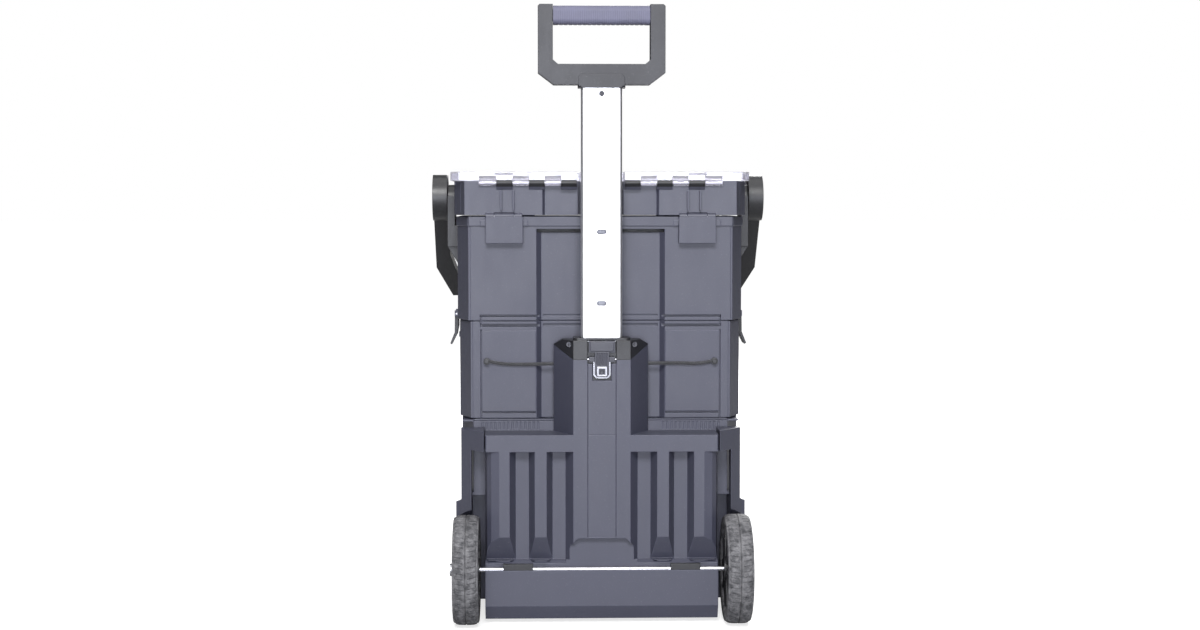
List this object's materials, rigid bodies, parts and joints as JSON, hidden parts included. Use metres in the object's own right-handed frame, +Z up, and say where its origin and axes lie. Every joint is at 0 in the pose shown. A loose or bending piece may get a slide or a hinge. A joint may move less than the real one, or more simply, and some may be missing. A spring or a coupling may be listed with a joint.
{
  "type": "rolling tool box",
  "caption": "Wheeled modular tool box with base bin, drawer unit, lift-off top box with clear-topped organizer lid, carrying bail and telescopic pulling handle.",
  "frame": {"origin": "bottom centre of the bounding box, on the floor", "axes": "+Z up, front faces -Y, +X the box's own left"},
  "size_m": [0.562, 0.4809, 0.995],
  "materials": {
    "main_plastic": "satin textured polypropylene",
    "dark_plastic": "fine textured black polypropylene",
    "handle_plastic": "satin moulded nylon",
    "grip_rubber": "soft touch rubber",
    "clear_plastic": "clear polycarbonate",
    "cup_plastic": "satin",
    "pole_metal": "anodised extrusion",
    "steel": "zinc plated",
    "tyre_rubber": "dusty rubber",
    "cord_elastic": "braided cover",
    "feet_rubber": "matte"
  },
  "bodies": {
    "chassis": {"base_bin": "main_plastic", "rear_frame": "main_plastic", "column_strip": "main_plastic", "column_cap": "dark_plastic", "cap_screws": "steel", "pole_guide": "dark_plastic", "axle": "steel", "axle_clips": "dark_plastic", "front_feet": "feet_rubber", "base_door_pin": "steel", "middle_case": "main_plastic", "cord_anchors": "dark_plastic", "rear_cord": "cord_elastic", "slide_outer": "steel", "lever_pin": "steel", "fender_left": "main_plastic", "fender_right": "main_plastic", "axle_caps": "steel"},
    "base_door": {"base_door": "main_plastic"},
    "base_latch": {"base_latch": "dark_plastic"},
    "slide_middle": {"slide_middle": "steel"},
    "drawer": {"drawer_tub": "dark_plastic", "drawer_front": "main_plastic", "drawer_pull": "dark_plastic", "drawer_divider": "dark_plastic", "slide_inner": "steel", "drawer_latch_hinge": "dark_plastic"},
    "drawer_latch": {"drawer_latch": "dark_plastic"},
    "handle": {"pole": "pole_metal", "pole_foot": "dark_plastic", "handle_screw": "steel", "grip_frame": "handle_plastic", "grip_socket": "handle_plastic", "grip_sleeve": "grip_rubber"},
    "release_lever": {"release_lever": "dark_plastic", "lock_plate": "steel"},
    "top_box": {"top_box": "main_plastic", "tote_tray": "dark_plastic", "side_latch_pins": "steel", "bail_pivots": "dark_plastic", "bail_brackets": "dark_plastic", "lid_hinge_pins": "steel"},
    "bail": {"bail_frame": "dark_plastic", "bail_grip": "grip_rubber"},
    "lid": {"lid": "main_plastic", "front_latch_pins": "steel", "organizer_cups": "cup_plastic", "cover_hinge_pins": "steel"},
    "wheel_left": {"tyre_left": "tyre_rubber", "hub_left": "dark_plastic"},
    "side_latch_left": {"side_latch_left": "dark_plastic"},
    "front_latch_left": {"front_latch_left": "dark_plastic"},
    "clear_cover_left": {"clear_cover_left": "clear_plastic"},
    "cover_latch_left": {"cover_latch_left": "dark_plastic"},
    "wheel_right": {"tyre_right": "tyre_rubber", "hub_right": "dark_plastic"},
    "side_latch_right": {"side_latch_right": "dark_plastic"},
    "front_latch_right": {"front_latch_right": "dark_plastic"},
    "clear_cover_right": {"clear_cover_right": "clear_plastic"},
    "cover_latch_right": {"cover_latch_right": "dark_plastic"}
  },
  "joints": [
    {"name": "handle_slide", "type": "slide", "parent": "chassis", "child": "handle", "axis": [0, 0, 1], "range_m": [-0.37, 0]},
    {"name": "release_lever_hinge", "type": "hinge", "parent": "chassis", "child": "release_lever", "pos_m": [0, 0.1555, 0.428], "axis": [1, 0, 0], "range_deg": [0, 10], "stiffness_Nm_per_rad": 1},
    {"name": "drawer_slide", "type": "slide", "parent": "chassis", "child": "drawer", "axis": [0, -1, 0], "range_m": [0, 0.2]},
    {"name": "slide_middle_travel", "type": "slide", "parent": "chassis", "child": "slide_middle", "axis": [0, -1, 0], "range_m": [0, 0.1]},
    {"name": "drawer_latch_hinge", "type": "hinge", "parent": "drawer", "child": "drawer_latch", "pos_m": [0, -0.2024, 0.404], "axis": [1, 0, 0], "range_deg": [0, 90]},
    {"name": "base_door_hinge", "type": "hinge", "parent": "chassis", "child": "base_door", "pos_m": [0, -0.193, 0.04], "axis": [1, 0, 0], "range_deg": [0, 88]},
    {"name": "base_latch_hinge", "type": "hinge", "parent": "base_door", "child": "base_latch", "pos_m": [0, -0.205, 0.262], "axis": [1, 0, 0], "range_deg": [0, 80]},
    {"name": "top_box_lift", "type": "slide", "parent": "chassis", "child": "top_box", "axis": [0, 0, 1], "range_m": [0, 0.1]},
    {"name": "bail_hinge", "type": "hinge", "parent": "top_box", "child": "bail", "pos_m": [0, -0.08, 0.687], "axis": [-1, 0, 0], "range_deg": [0, 138]},
    {"name": "lid_hinge", "type": "hinge", "parent": "top_box", "child": "lid", "pos_m": [0, 0.096, 0.6565], "axis": [1, 0, 0], "range_deg": [-44, 0]},
    {"name": "wheel_left_spin", "type": "hinge", "parent": "chassis", "child": "wheel_left", "pos_m": [0.218, 0.152, 0.088], "axis": [1, 0, 0], "continuous": true},
    {"name": "side_latch_left_hinge", "type": "hinge", "parent": "top_box", "child": "side_latch_left", "pos_m": [0.2398, -0.05, 0.4915], "axis": [0, -1, 0], "range_deg": [0, 75]},
    {"name": "front_latch_left_hinge", "type": "hinge", "parent": "lid", "child": "front_latch_left", "pos_m": [0.13, -0.2085, 0.668], "axis": [-1, 0, 0], "range_deg": [0, 100]},
    {"name": "clear_cover_left_hinge", "type": "hinge", "parent": "lid", "child": "clear_cover_left", "pos_m": [0.118, 0.1, 0.711], "axis": [-1, 0, 0], "range_deg": [0, 82]},
    {"name": "cover_latch_left_hinge", "type": "hinge", "parent": "clear_cover_left", "child": "cover_latch_left", "pos_m": [0.12, -0.2086, 0.7205], "axis": [-1, 0, 0], "range_deg": [0, 100]},
    {"name": "wheel_right_spin", "type": "hinge", "parent": "chassis", "child": "wheel_right", "pos_m": [-0.218, 0.152, 0.088], "axis": [1, 0, 0], "continuous": true},
    {"name": "side_latch_right_hinge", "type": "hinge", "parent": "top_box", "child": "side_latch_right", "pos_m": [-0.2398, -0.05, 0.4915], "axis": [0, 1, 0], "range_deg": [0, 75]},
    {"name": "front_latch_right_hinge", "type": "hinge", "parent": "lid", "child": "front_latch_right", "pos_m": [-0.13, -0.2085, 0.668], "axis": [-1, 0, 0], "range_deg": [0, 100]},
    {"name": "clear_cover_right_hinge", "type": "hinge", "parent": "lid", "child": "clear_cover_right", "pos_m": [-0.118, 0.1, 0.711], "axis": [-1, 0, 0], "range_deg": [0, 82]},
    {"name": "cover_latch_right_hinge", "type": "hinge", "parent": "clear_cover_right", "child": "cover_latch_right", "pos_m": [-0.12, -0.2086, 0.7205], "axis": [-1, 0, 0], "range_deg": [0, 100]}
  ],
  "couplings": [
    {"joint": "slide_middle_travel", "follows": "drawer_slide", "ratio": 0.5}
  ]
}
